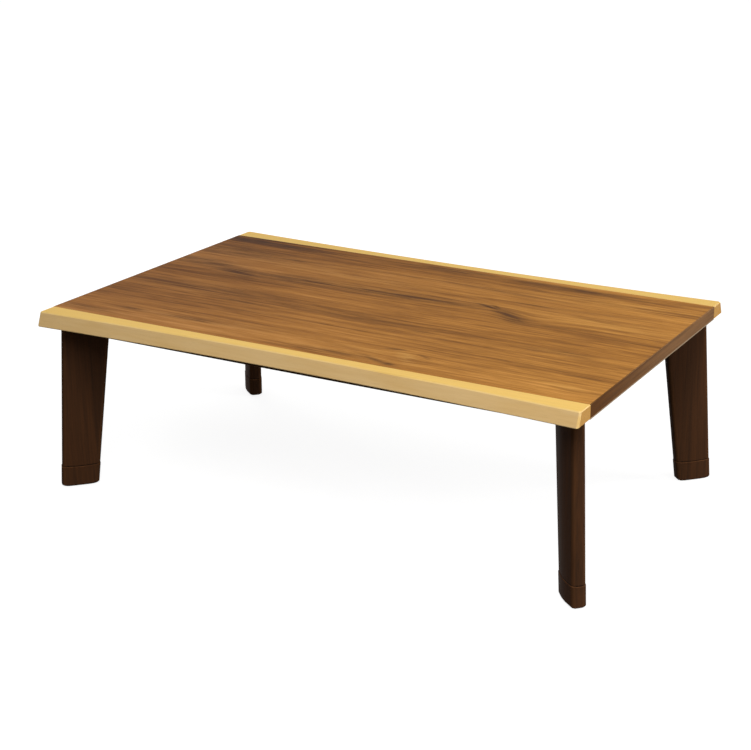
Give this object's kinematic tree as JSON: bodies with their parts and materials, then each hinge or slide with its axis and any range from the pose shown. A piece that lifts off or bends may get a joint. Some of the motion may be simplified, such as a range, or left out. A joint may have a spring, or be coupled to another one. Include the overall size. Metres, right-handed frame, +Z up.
{
  "type": "kotatsu table",
  "caption": "Low rectangular heated table: loose walnut top with pale hollowed edge strips, dark frame, diagonal tapered plate legs on extension feet, heater below.",
  "frame": {"origin": "on the floor below the middle of the table", "axes": "+X along the long side, -Y towards the front long side, +Z up"},
  "size_m": [1.3658, 0.8484, 0.44],
  "materials": {
    "walnut_veneer": "walnut veneer, satin lacquer",
    "walnut_edge": "walnut edge band, satin lacquer",
    "pale_hardwood": "pale solid wood, satin lacquer",
    "core_wood": "plain board",
    "backing_board": "plain backing skin",
    "dark_stained_wood": "dark brown stain, satin lacquer",
    "frame_wood": "dark brown stain, matt",
    "plated_steel": "bright zinc plate",
    "pad_rubber": "matt",
    "foot_felt": "pressed felt",
    "black_steel": "satin black heat-proof paint",
    "black_plastic": "fine grain",
    "bright_aluminium": "bright rolled",
    "quartz": "milky quartz",
    "element_wire": "oxidised",
    "ceramic": "unglazed ceramic",
    "motor_steel": "bright zinc plate",
    "pale_plastic": "plain",
    "pin_brass": "plain"
  },
  "bodies": {
    "frame": {"front_apron": "dark_stained_wood", "back_apron": "dark_stained_wood", "left_apron": "dark_stained_wood", "right_apron": "dark_stained_wood", "front_left_leg": "dark_stained_wood", "front_right_leg": "dark_stained_wood", "back_left_leg": "dark_stained_wood", "back_right_leg": "dark_stained_wood", "front_left_corner_block": "frame_wood", "front_right_corner_block": "frame_wood", "back_left_corner_block": "frame_wood", "back_right_corner_block": "frame_wood", "left_heater_bearer": "frame_wood", "right_heater_bearer": "frame_wood", "front_heater_rail": "frame_wood", "back_heater_rail": "frame_wood", "leg_bolts": "plated_steel", "leg_washers": "plated_steel", "heater_screws": "plated_steel", "motor_bracket": "plated_steel", "frame_pads": "pad_rubber", "heater_housing": "black_steel", "guard_rim": "black_steel", "guard_wires": "black_steel", "guard_bars": "black_steel", "heater_bezel": "black_plastic", "power_inlet": "black_plastic", "heater_reflector": "bright_aluminium", "quartz_tubes": "quartz", "heating_elements": "element_wire", "tube_holders": "ceramic", "fan_motor": "motor_steel", "thermostat": "motor_steel", "terminal_block": "pale_plastic", "inlet_pins": "pin_brass"},
    "table_top": {"back_edge_strip": "pale_hardwood", "bottom_panel": "backing_board", "core_board": "core_wood", "front_edge_strip": "pale_hardwood", "left_end_band": "walnut_edge", "right_end_band": "walnut_edge", "top_panel": "walnut_veneer"},
    "front_left_foot": {"front_left_extension_foot": "dark_stained_wood", "front_left_foot_tenon": "frame_wood", "front_left_felt_pad": "foot_felt"},
    "front_right_foot": {"front_right_extension_foot": "dark_stained_wood", "front_right_foot_tenon": "frame_wood", "front_right_felt_pad": "foot_felt"},
    "back_left_foot": {"back_left_extension_foot": "dark_stained_wood", "back_left_foot_tenon": "frame_wood", "back_left_felt_pad": "foot_felt"},
    "back_right_foot": {"back_right_extension_foot": "dark_stained_wood", "back_right_foot_tenon": "frame_wood", "back_right_felt_pad": "foot_felt"},
    "fan": {"fan_shaft": "plated_steel", "fan_rotor": "black_plastic"}
  },
  "joints": [
    {"name": "top_lift", "type": "slide", "parent": "frame", "child": "table_top", "axis": [0, 0, 1], "range_m": [0, 0.15]},
    {"name": "front_left_foot_draw", "type": "slide", "parent": "frame", "child": "front_left_foot", "axis": [0, 0, -1], "range_m": [0, 0.04]},
    {"name": "front_right_foot_draw", "type": "slide", "parent": "frame", "child": "front_right_foot", "axis": [0, 0, -1], "range_m": [0, 0.04]},
    {"name": "back_left_foot_draw", "type": "slide", "parent": "frame", "child": "back_left_foot", "axis": [0, 0, -1], "range_m": [0, 0.04]},
    {"name": "back_right_foot_draw", "type": "slide", "parent": "frame", "child": "back_right_foot", "axis": [0, 0, -1], "range_m": [0, 0.04]},
    {"name": "fan_spin", "type": "hinge", "parent": "frame", "child": "fan", "pos_m": [0, 0, 0.3743], "axis": [0, 0, 1], "continuous": true}
  ]
}
